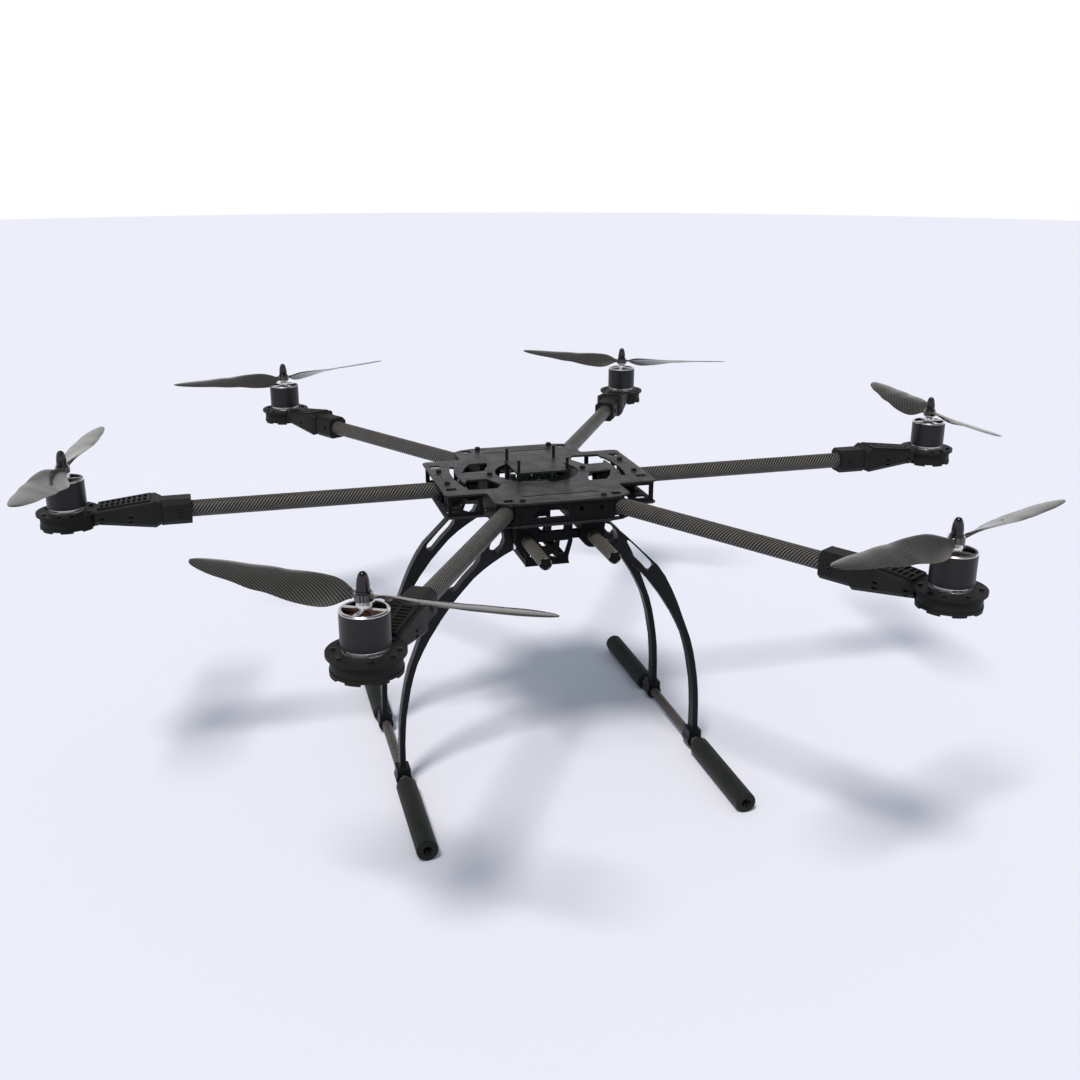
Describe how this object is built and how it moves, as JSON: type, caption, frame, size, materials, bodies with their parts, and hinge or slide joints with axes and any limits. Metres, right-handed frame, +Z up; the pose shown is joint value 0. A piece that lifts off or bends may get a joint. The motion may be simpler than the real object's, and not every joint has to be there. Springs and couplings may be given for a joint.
{
  "type": "hexacopter drone",
  "caption": "Hexacopter drone: carbon plate hub, tube arms, outrunner motors with two-blade propellers, curved legs on foam-tipped skids and a railed payload tray.",
  "frame": {"origin": "on the ground under the hub's vertical axis", "axes": "+Z up, front of the drone is -Y, +X to its right when looking along +Y"},
  "size_m": [0.9576, 0.9429, 0.3555],
  "materials": {
    "carbon_sheet": "woven, satin",
    "carbon_tube": "twill weave, satin",
    "carbon_gloss": "twill weave under clear coat",
    "black_nylon": "moulded, fine grain",
    "cover_nylon": "moulded, fine grain",
    "leg_nylon": "moulded, satin",
    "bell_black": "anodised, satin, bare ring on top",
    "bare_alloy": "turned",
    "spinner_dark": "gloss anodised",
    "black_metal": "black oxide",
    "circuit_board": "solder mask",
    "copper": "enamelled wire",
    "foam_rubber": "closed-cell foam"
  },
  "bodies": {
    "frame": {"arm_tube_fr": "carbon_tube", "motor_mount_fr": "black_nylon", "arm_tube_r": "carbon_tube", "motor_mount_r": "black_nylon", "arm_tube_br": "carbon_tube", "motor_mount_br": "black_nylon", "arm_tube_bl": "carbon_tube", "motor_mount_bl": "black_nylon", "arm_tube_l": "carbon_tube", "motor_mount_l": "black_nylon", "arm_tube_fl": "carbon_tube", "motor_mount_fl": "black_nylon", "top_plate": "carbon_sheet", "bottom_plate": "carbon_sheet", "controller_platform": "carbon_sheet", "payload_tray": "black_nylon", "hub_walls": "black_nylon", "arm_clamps": "black_nylon", "plate_standoffs": "black_metal", "cap_screws": "black_metal", "power_board": "circuit_board", "platform_posts": "black_metal", "vent_covers": "cover_nylon", "speed_controllers": "circuit_board", "motor_bases": "bare_alloy", "motor_windings": "copper", "skid_tubes": "carbon_tube", "foam_sleeves": "foam_rubber", "leg_brackets": "bare_alloy", "rail_hangers": "black_nylon", "payload_rails": "carbon_tube", "rail_plugs": "black_nylon", "leg_fr": "leg_nylon", "leg_fl": "leg_nylon", "leg_br": "leg_nylon", "leg_bl": "leg_nylon"},
    "rotor_fr": {"motor_bell_fr": "bell_black", "prop_adapter_fr": "bare_alloy", "propeller_fr": "carbon_gloss", "spinner_nut_fr": "spinner_dark"},
    "rotor_r": {"motor_bell_r": "bell_black", "prop_adapter_r": "bare_alloy", "propeller_r": "carbon_gloss", "spinner_nut_r": "spinner_dark"},
    "rotor_br": {"motor_bell_br": "bell_black", "prop_adapter_br": "bare_alloy", "propeller_br": "carbon_gloss", "spinner_nut_br": "spinner_dark"},
    "rotor_bl": {"motor_bell_bl": "bell_black", "prop_adapter_bl": "bare_alloy", "propeller_bl": "carbon_gloss", "spinner_nut_bl": "spinner_dark"},
    "rotor_l": {"motor_bell_l": "bell_black", "prop_adapter_l": "bare_alloy", "propeller_l": "carbon_gloss", "spinner_nut_l": "spinner_dark"},
    "rotor_fl": {"motor_bell_fl": "bell_black", "prop_adapter_fl": "bare_alloy", "propeller_fl": "carbon_gloss", "spinner_nut_fl": "spinner_dark"}
  },
  "joints": [
    {"name": "rotor_spin_fr", "type": "hinge", "parent": "frame", "child": "rotor_fr", "pos_m": [0.225, -0.38971, 0.318], "axis": [0, 0, 1], "continuous": true},
    {"name": "rotor_spin_r", "type": "hinge", "parent": "frame", "child": "rotor_r", "pos_m": [0.45, 0, 0.318], "axis": [0, 0, 1], "continuous": true},
    {"name": "rotor_spin_br", "type": "hinge", "parent": "frame", "child": "rotor_br", "pos_m": [0.225, 0.38971, 0.318], "axis": [0, 0, 1], "continuous": true},
    {"name": "rotor_spin_bl", "type": "hinge", "parent": "frame", "child": "rotor_bl", "pos_m": [-0.225, 0.38971, 0.318], "axis": [0, 0, 1], "continuous": true},
    {"name": "rotor_spin_l", "type": "hinge", "parent": "frame", "child": "rotor_l", "pos_m": [-0.45, 0, 0.318], "axis": [0, 0, 1], "continuous": true},
    {"name": "rotor_spin_fl", "type": "hinge", "parent": "frame", "child": "rotor_fl", "pos_m": [-0.225, -0.38971, 0.318], "axis": [0, 0, 1], "continuous": true}
  ]
}
